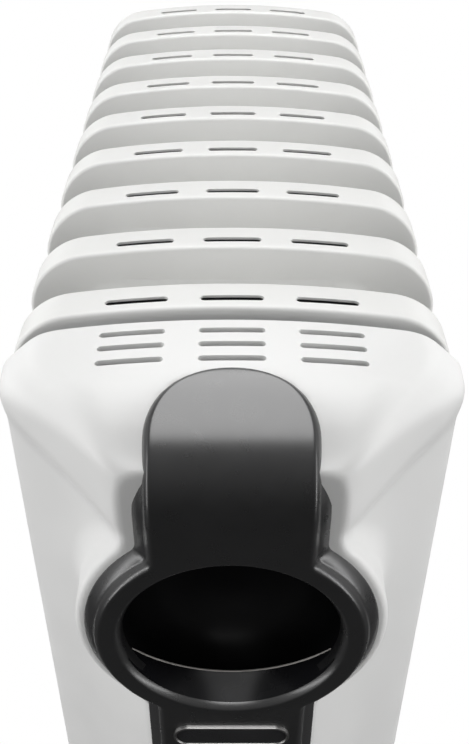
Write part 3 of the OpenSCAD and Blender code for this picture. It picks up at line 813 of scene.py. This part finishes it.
def keyhole(grow):
    """Outline of the strip and ring, moved outward by grow."""
    side, ring = STRIP_HW + STRIP_SPREAD * grow, RING_FACE_R + grow
    # the fillets between strip and ring, by their centres
    fillet_x = side + FILLET
    rise = math.sqrt((ring + FILLET) ** 2 - fillet_x ** 2)
    a = math.degrees(math.atan2(rise, fillet_x))
    base_r, base_z = BASE_R + grow, STRIP_BASE + BASE_R
    right = np.concatenate([
        line((0, STRIP_BASE - grow), (side - base_r, STRIP_BASE - grow), 4),
        arc(side - base_r, base_z, base_r, -90, 0, 8),
        line((side, base_z), (side, RING_Z - rise), 12),
        arc(fillet_x, RING_Z - rise, FILLET, 180, 180 - a, 8),
        arc(0, RING_Z, ring, -a, a, 48),
        arc(fillet_x, RING_Z + rise, FILLET, a - 180, -180, 8),
        line((side, RING_Z + rise), (side, TIP_Q), 36),
        arc(0, TIP_Q, side, 0, 90, 20)])
    top = np.array([[0.0, TIP_Q + side]])
    left = right[1:][::-1] * np.array([-1.0, 1.0])
    return np.concatenate([right, top, left])


def circle(r, n=96):
    """Circle about the ring's centre."""
    return arc(0, RING_Z, r, 0, 360, n)


def fascia():
    """Strip and ring in one moulding; skirt and hole hold distances past the outline and out of the face."""
    build = Builder()
    skirt = [(3.8, -14.0), (4.9, -10.0), (5.6, -8.0), (5.6, -7.2), (5.3, -6.3), (2.5, -3.7), (2.0, -3.2),
             (1.75, -2.4), (1.5, -1.7), (1.1, -1.05), (0.55, -0.45), (0.1, -0.12), (-0.5, 0.0), (-1.2, 0.0)]
    build.rings([on_strip(keyhole(g)[:, 0], keyhole(g)[:, 1], n) for g, n in skirt])
    hole = [(40.6, 0.0), (40.0, -0.1), (39.4, -0.5), (38.3, -2.2), (37.9, -3.0), (37.7, -4.0), (37.7, -7.2),
            (44.5, -7.6)]
    build.rings([on_strip(circle(r)[:, 0], circle(r)[:, 1], n) for r, n in hole])
    verts, faces = fill(keyhole(skirt[-1][0]), [circle(hole[0][0])], step=3.0)
    build.patch(on_strip(verts[:, 0], verts[:, 1], 0.0), faces)
    return add_piece("fascia_moulding", build.all_points(), build.faces, "satin",
                     nodes=["control_fascia"], sharp=60, weld=2e-6)


fascia()

# ---------------------------------------------------------------- grip cup
CUP_R = 45.0
CUP_FRONT = 67.6
CUP_BACK = 26.5
CUP_BLEND = 30.0
LIP_R = 54.5
LIP_Z = -69.5
LIP_V = 63.0
LIP_FRONT_V = 72.5
LIP_EDGE_R = 0.7
LIP_SPAN = 36.0


def grip_cup():
    """Bowl behind the ring."""
    build = Builder()
    turn = np.radians(np.arange(0, 91, 9))
    profile = [(38.6, CUP_FRONT), (CUP_R - 0.4, CUP_FRONT), (CUP_R, 66.5), (CUP_R, 62.0)]
    profile += [(CUP_R - CUP_BLEND * (1 - math.cos(a)), CUP_BACK + CUP_BLEND - CUP_BLEND * math.sin(a))
                for a in turn]
    profile += [(7.0, CUP_BACK - 0.3), (0.5, CUP_BACK - 0.4)]
    n = 96
    build.rings([place(circle(r, n)[:, 0], v, circle(r, n)[:, 1]) for r, v in profile])
    build.faces.append(tuple(range(build.count - n, build.count)))
    add_piece("grip_cup_moulding", build.all_points(), build.faces, "bowl",
              nodes=["grip_cup"], sharp=60)


def grip_lip():
    """Lip that the fingers pull on, from the ring's lower edge back to a curved edge, with a lighter strip
    along that edge as a painted highlight.
    """
    lip = Builder()
    u = np.linspace(-1, 1, 81)
    front_a = np.radians(-90 + 72 * u)
    front_r = RING_HOLE_R - 0.25
    front = np.stack([front_r * np.cos(front_a), RING_Z + front_r * np.sin(front_a)], -1)
    smile_x = LIP_SPAN * u
    smile = np.stack([smile_x, LIP_Z - np.sqrt(LIP_R ** 2 - smile_x ** 2)], -1)
    rows = []
    for t in np.linspace(0, 1, 16):
        xz = front * (1 - t) + smile * t
        rows.append(place(xz[:, 0], LIP_FRONT_V + (LIP_V - LIP_FRONT_V) * t, xz[:, 1]))
    for a in np.radians((22, 45, 67, 90)):
        rows.append(place(smile[:, 0], LIP_V - LIP_EDGE_R * math.sin(a),
                          smile[:, 1] - LIP_EDGE_R * (1 - math.cos(a))))
    rows.append(place(smile[:, 0], LIP_V - LIP_EDGE_R, smile[:, 1] - 16.0))
    lip.rings(rows, closed=False)
    add_piece("grip_lip", lip.all_points(), lip.faces, "lip", sharp=60)
    # a thin lighter strip along the curved edge: a painted highlight
    edge = Builder()
    edge.rings([place(smile[:, 0], LIP_V + h, smile[:, 1] + k) for h, k in
                ((0.5, 0.12), (0.35, 0.3), (0.05, 0.36), (-0.25, 0.2), (-0.4, -0.1))], closed=False)
    add_piece("grip_lip_painted_highlight", edge.all_points(), edge.faces, "edge", sharp=60)


grip_cup()
grip_lip()

# ---------------------------------------------------------------- badge and controls
badge_z0, badge_z1 = extent("badge_plate", 2)
badge_r = 0.5 * (badge_z1 - badge_z0)
badge_x = extent("badge_plate", 0)[1] - badge_r
pill = [(-badge_x, BADGE_Z, badge_r), (badge_x, BADGE_Z, badge_r)]
rim = Builder()
slab(rim, pill, [(0.0, FACE_V - 0.3), (0.0, FACE_V + 0.9), (0.15, FACE_V + 1.25), (0.5, FACE_V + 1.45),
                 (0.9, FACE_V + 1.35), (1.15, FACE_V + 1.05), (1.3, FACE_V + 0.6)], facing_front)
add_piece("badge_rim", rim.all_points(), rim.faces, "badge_rim", nodes=["badge_plate"])
badge = Builder()
slab(badge, pill, [(1.1, FACE_V + 0.3), (1.2, FACE_V + 0.75), (1.5, FACE_V + 0.85), (3.5, FACE_V + 1.0)],
     facing_front)
add_piece("badge_field", badge.all_points(), badge.faces, "badge")


# how far the marks lie from a dial's axis
DIAL_R = 22.3


def knob(node, body):
    """Dial with a fluted grip and a pointer line that looks up at rest."""
    x, _, z = centre(node)
    y_front, y_back = extent(node, 1)
    tall = y_back - y_front
    at = (x, y_back, z)
    build = Builder()
    turned(build, at, "-y", [
        (14.0, 0.0), (19.4, 0.0), (19.9, 0.4), (19.9, 1.6), (19.3, 2.2), (18.8, 2.3), (18.7, 2.9, 1),
        (18.5, 7.0, 1), (18.2, tall - 7.2, 1), (17.7, tall - 6.4, 1), (16.9, tall - 5.9), (16.4, tall - 5.6),
        (16.0, tall - 1.6), (15.7, tall - 0.7), (15.0, tall - 0.15), (14.2, tall), (11.0, tall - 0.35),
        (5.0, tall - 0.7), (0.4, tall - 0.75)], n=240, flutes=40, depth=0.045)
    add_piece(node + "_moulding", build.all_points(), build.faces, "knob", body=body, nodes=[node],
              sharp=40)
    mark = Builder()
    slab(mark, [(x, z - CROWN + 6.5, 0.8), (x, z - CROWN + 13.6, 0.8)],
         rounded_edge(tall - 0.9, tall - 0.05, 0.2), lambda loop, h: (
             np.stack([loop[:, 0], np.full(len(loop), y_back - h), loop[:, 1] + CROWN], -1) * MM), n=32)
    add_piece(node + "_pointer", mark.all_points(), mark.faces, "paint", body=body)


knob("thermostat_knob", "thermostat_dial")
knob("selector_knob", "power_dial")


def dial_marks(node, angles, sizes):
    """Dots on the strip round a dial; angles are clockwise from straight up."""
    x, _, z = centre(node)
    build = Builder()
    for a, r in zip(angles, sizes):
        cx, cz = x + DIAL_R * math.sin(math.radians(a)), z + DIAL_R * math.cos(math.radians(a))
        turned(build, (cx, Y_FIN - FACE_V + 0.05, cz), "-y", [(r, 0.0), (r, 0.1), (r - 0.1, 0.16)], n=16)
    add_piece(node + "_marks", build.all_points(), build.faces, "paint")


dial_marks("thermostat_knob", range(0, 271, 30), [0.45 + 0.05 * k for k in range(10)])
dial_marks("selector_knob", range(0, 136, 45), [0.75] * 4)

lens_x, _, lens_z = centre("indicator_lens")
lens_front, lens_back = extent("indicator_lens", 1)
lens_r = 0.5 * (extent("indicator_lens", 0)[1] - extent("indicator_lens", 0)[0])
DOME = 1.6
dome = Builder()
lens_side = lens_back - lens_front - DOME
dome_turn = np.radians([0, 20, 40, 60, 75, 86])
turned(dome, (lens_x, lens_back, lens_z), "-y", [(lens_r, 0.0)] + [
    (lens_r * math.cos(a), lens_side + DOME * math.sin(a)) for a in dome_turn])
add_piece("indicator_dome", dome.all_points(), dome.faces, "lens", nodes=["indicator_lens"],
          sharp=50)
bezel = Builder()
turned(bezel, (lens_x, Y_FIN - FACE_V + 0.3, lens_z), "-y", [
    (lens_r + 0.1, 0.0), (lens_r + 1.8, 0.0), (lens_r + 1.8, 0.8), (lens_r + 1.5, 1.1), (lens_r + 0.7, 1.15),
    (lens_r + 0.15, 0.7), (lens_r + 0.1, 0.0)], ends=False)
add_piece("indicator_bezel", bezel.all_points(), bezel.faces, "knob")

# ---------------------------------------------------------------- cord wrap and gland
wrap_front = Y_FIN - extent("cord_wrap", 1)[0]
wrap_x = extent("cord_wrap", 0)[1]
wrap_z0, wrap_z1 = extent("cord_wrap", 2)
wrap_r = 0.5 * (wrap_z1 - wrap_z0)
wrap_mid = 0.5 * (wrap_z0 + wrap_z1) - CROWN
NECK_X = 16.0
NECK_R = 9.0
wrap = Builder()
neck = [(-NECK_X, wrap_mid, NECK_R), (NECK_X, wrap_mid, NECK_R)]
slab(wrap, neck,
     [(-4.0, HOUSE_FRONT - 0.2), (-1.6, HOUSE_FRONT + 0.8), (-0.4, HOUSE_FRONT + 2.4),
      (0.0, HOUSE_FRONT + 5.0), (0.0, wrap_front - 8.0), (-0.6, wrap_front - 5.6),
      (-2.2, wrap_front - 4.2)], facing_front)
flange = [(-(wrap_x - wrap_r), wrap_mid, wrap_r), (wrap_x - wrap_r, wrap_mid, wrap_r)]
flange_edge = [(3.0, 4.0), (1.0, 3.9), (0.3, 3.4), (0.0, 2.5), (0.1, 1.4), (0.6, 0.6), (1.6, 0.1), (3.0, 0.0),
               (8.0, 0.3), (9.0, 1.1), (10.0, 1.4)]
slab(wrap, flange, [(inset, wrap_front - back) for inset, back in flange_edge], facing_front)
add_piece("cord_wrap_moulding", wrap.all_points(), wrap.faces, "black", nodes=["cord_wrap"],
          sharp=50)

gland_x, gland_y, _ = centre("cord_gland")
gland_z0, gland_z1 = extent("cord_gland", 2)
gland_r = 0.5 * (extent("cord_gland", 0)[1] - extent("cord_gland", 0)[0])
CORD_R = 4.0
gland = Builder()
gland_tall = gland_z1 - gland_z0
turned(gland, (gland_x, gland_y, gland_z0), "z", [
    (CORD_R, 0.6), (CORD_R + 0.5, 0.0), (gland_r - 1.0, 0.0), (gland_r - 0.2, 0.5), (gland_r, 1.2, 1),
    (gland_r, 4.4, 1), (gland_r - 0.3, 5.4), (gland_r - 1.2, 6.0), (gland_r - 3.0, 6.0),
    (gland_r - 3.0, gland_tall - 0.6), (gland_r - 3.5, gland_tall), (CORD_R + 0.4, gland_tall),
    (CORD_R, gland_tall - 0.5), (CORD_R, 0.6)],
    n=96, flutes=16, depth=0.06, ends=False)
add_piece("gland_moulding", gland.all_points(), gland.faces, "black", nodes=["cord_gland"],
          sharp=40)

# ---------------------------------------------------------------- castors, wheels and wing nuts
WEB_W = 8.0
CASTOR_TRAIL = 16.0
COVER_LOW = 38.0
COVER_TOP = 43.0


def castor(corner):
    """Castor hood with its stem, and the pair of wheels that rolls on its axle."""
    z1 = extent(f"castor_{corner}", 2)[1]
    axle = centre(f"axle_{corner}")
    stem_x = centre(f"castor_{corner}")[0]
    wheel_low, wheel_high = extent(f"wheels_{corner}", 2)
    # a hair smaller than the CAD's wheel, to stay inside the box
    wheel_r = 0.5 * (wheel_high - wheel_low) - 0.02
    w0, w1 = extent(f"wheels_{corner}", 0)
    half = 0.5 * (w1 - w0)
    stem_y = axle[1] + CASTOR_TRAIL
    web = 0.5 * WEB_W

    def upright(loop, h):
        return np.stack([np.full(len(loop), stem_x + h), loop[:, 0], loop[:, 1]], -1) * MM

    build = Builder()
    slab(build, [(axle[1], axle[2], wheel_r - 3.0), (stem_y + 5.0, COVER_LOW, 3.0),
                 (stem_y + 5.0, COVER_TOP, 2.0), (axle[1] + 3.0, COVER_TOP, 2.0)],
         rounded_edge(-web, web, 0.5), upright)
    at = (stem_x, stem_y, 0.0)
    turned(build, at, "z", [(4.0, 41.3), (7.2, 41.4), (7.9, 42.1), (7.9, 44.9), (7.3, 45.7), (6.0, 46.0),
                            (4.5, 46.1), (4.5, z1 - 1.0), (3.6, z1)])
    add_piece(f"castor_{corner}_moulding", build.all_points(), build.faces, "castor",
              body=f"castor_{corner}", nodes=[f"castor_{corner}"], sharp=40)
    tyres = Builder()
    wide = half - web - 0.5
    for side in (-1, 1):
        outer = stem_x + side * half
        profile = [(3.2, wide), (17.0, wide), (18.6, wide - 0.5), (wheel_r - 0.3, wide - 1.8),
                   (wheel_r, wide - 3.2), (wheel_r, 3.6), (wheel_r - 0.3, 2.0), (18.8, 0.7), (17.2, 0.15),
                   (16.2, 0.1), (15.6, 0.7), (15.2, 1.7), (8.4, 1.9), (7.8, 1.3), (7.4, 0.5), (6.6, 0.1),
                   (3.4, 0.0), (3.2, 0.3), (3.2, wide)]
        turned(tyres, (outer, axle[1], axle[2]), "x", [(r, -side * h) for r, h in profile], n=96, ends=False)
    add_piece(f"wheels_{corner}_moulding", tyres.all_points(), tyres.faces, "wheel",
              body=f"wheels_{corner}", nodes=[f"wheels_{corner}"], sharp=35)


for corner in CORNERS:
    castor(corner)

NUT_R = 5.0
NUT_BORE_R = 2.7
# from a nut's axis to the tip of its wing, along the heater
NUT_REACH = 13.0
nuts = Builder()
nut_low, nut_high = extent("wing_nuts", 2)
nut_tall = nut_high - nut_low
nut_x = extent("wing_nuts", 0)[1] - NUT_R
nut_y0, nut_y1 = extent("wing_nuts", 1)
for nut_y in (nut_y0 + NUT_REACH, nut_y1 - NUT_REACH):
    for side in (-1, 1):
        cx = side * nut_x
        turned(nuts, (cx, nut_y, nut_low), "z", [
            (NUT_BORE_R, 0.0), (4.2, 0.0), (4.8, 0.5), (NUT_R, 1.5), (4.9, nut_tall),
            (NUT_BORE_R, nut_tall), (NUT_BORE_R, 0.0)], n=40, ends=False)
        for wing in (-1, 1):
            slab(nuts, [(nut_y + wing * 4.2, nut_low + 4.4, 1.6), (nut_y + wing * 9.4, nut_low + 3.0, 2.6),
                        (nut_y + wing * 10.0, nut_low + 3.4, 2.8)], rounded_edge(-0.9, 0.9, 0.5),
                 lambda loop, h, cx=cx: np.stack(
                     [np.full(len(loop), cx + h), loop[:, 0], loop[:, 1]], -1) * MM, n=40)
add_piece("wing_nut_castings", nuts.all_points(), nuts.faces, "zinc", nodes=["wing_nuts"],
          sharp=35)

# ---------------------------------------------------------------- backdrop and light
# a white sphere about the scene, which only the camera sees
BACKDROP_R = 14.0
shell = bmesh.new()
bmesh.ops.create_icosphere(shell, subdivisions=4, radius=BACKDROP_R)
backdrop_mesh = bpy.data.meshes.new("backdrop")
shell.to_mesh(backdrop_mesh)
shell.free()
backdrop = bpy.data.objects.new("backdrop", backdrop_mesh)
bpy.context.scene.collection.objects.link(backdrop)
white_light = {"Specular IOR Level": 0.0, "Emission Color": (1.0, 1.0, 1.0, 1.0), "Emission Strength": 1.0}
backdrop_mesh.materials.append(new_material("backdrop_white", (0.0, 0.0, 0.0), 1.0, **white_light)[0])
backdrop.visible_diffuse = False
backdrop.visible_glossy = False
backdrop.visible_transmission = False
backdrop.visible_shadow = False

world = bpy.data.worlds.new("studio")
bpy.context.scene.world = world
world.use_nodes = True
sky = world.node_tree
direction = sky.nodes.new("ShaderNodeSeparateXYZ")
sky.links.new(sky.nodes.new("ShaderNodeTexCoord").outputs["Generated"], direction.inputs["Vector"])


def sky_math(operation, a, b=None):
    """Math node on numbers or other nodes' outputs."""
    n = sky.nodes.new("ShaderNodeMath")
    n.operation = operation
    for socket, value in zip(n.inputs, (a, b)):
        if isinstance(value, (int, float)):
            socket.default_value = value
        elif value is not None:
            sky.links.new(value, socket)
    return n.outputs["Value"]


def sky_band(source, start, end, amount):
    """Rises smoothly to amount as the source goes from start to end."""
    n = sky.nodes.new("ShaderNodeMapRange")
    n.interpolation_type = "SMOOTHSTEP"
    n.inputs["From Min"].default_value = start
    n.inputs["From Max"].default_value = end
    n.inputs["To Max"].default_value = amount
    sky.links.new(source, n.inputs["Value"])
    return n.outputs["Result"]


# the surroundings: dim, with a glow from both sides, from above and from behind
SKY_BASE = 0.05
sideways = sky_math("ABSOLUTE", direction.outputs["X"])
side_glow = sky_math("MULTIPLY", sky_band(sideways, 0.5, 0.95, 0.35),
                     sky_band(direction.outputs["Z"], -0.6, 0.0, 1.0))
over_glow = sky_band(direction.outputs["Z"], -0.25, 0.9, 0.24)
back_glow = sky_band(direction.outputs["Y"], 0.3, 0.9, 0.3)
glow = sky_math("ADD", sky_math("ADD", side_glow, over_glow), sky_math("ADD", back_glow, SKY_BASE))
sky.links.new(glow, sky.nodes["Background"].inputs["Strength"])
sky.nodes["Background"].inputs["Color"].default_value = (1.0, 1.0, 1.0, 1.0)
bpy.context.scene.view_settings.view_transform = "Standard"


def softbox(name, place_at, aim, size, power, mirrored):
    """Area light that shows in glossy surfaces, if mirrored, or else lights the matt ones."""
    light = bpy.data.lights.new(name, "AREA")
    light.shape = "RECTANGLE"
    light.size, light.size_y = size
    light.energy = power
    o = bpy.data.objects.new(name, light)
    bpy.context.scene.collection.objects.link(o)
    o.location = place_at
    o.rotation_euler = (Vector(aim) - Vector(place_at)).to_track_quat("-Z", "Y").to_euler()
    o.visible_glossy = mirrored
    o.visible_diffuse = not mirrored


# name, place, what it looks at, size in metres, power in watts, and whether it shows in reflections
softbox("top_light", (0.0, 0.45, 1.75), (0.0, 0.05, 0.64), (1.0, 0.8), 12.5, False)
softbox("left_light", (-1.57, -0.35, 0.78), (0.0, -0.15, 0.5), (0.7, 0.8), 23, False)
softbox("right_light", (1.57, -0.35, 0.78), (0.0, -0.15, 0.5), (0.7, 0.8), 23, False)
softbox("front_light", (0.0, -1.8, 1.1), (0.0, -0.15, 0.5), (1.2, 0.6), 4.5, False)
softbox("top_panel", (0.0, 0.12, 1.64), (0.0, 0.12, 0.6), (0.8, 1.9), 14, True)
softbox("left_panel", (-1.3, -0.75, 0.6), (0.0, -0.2, 0.55), (0.2, 1.1), 2.4, True)
softbox("right_panel", (1.3, -0.75, 0.6), (0.0, -0.2, 0.55), (0.2, 1.1), 2.4, True)
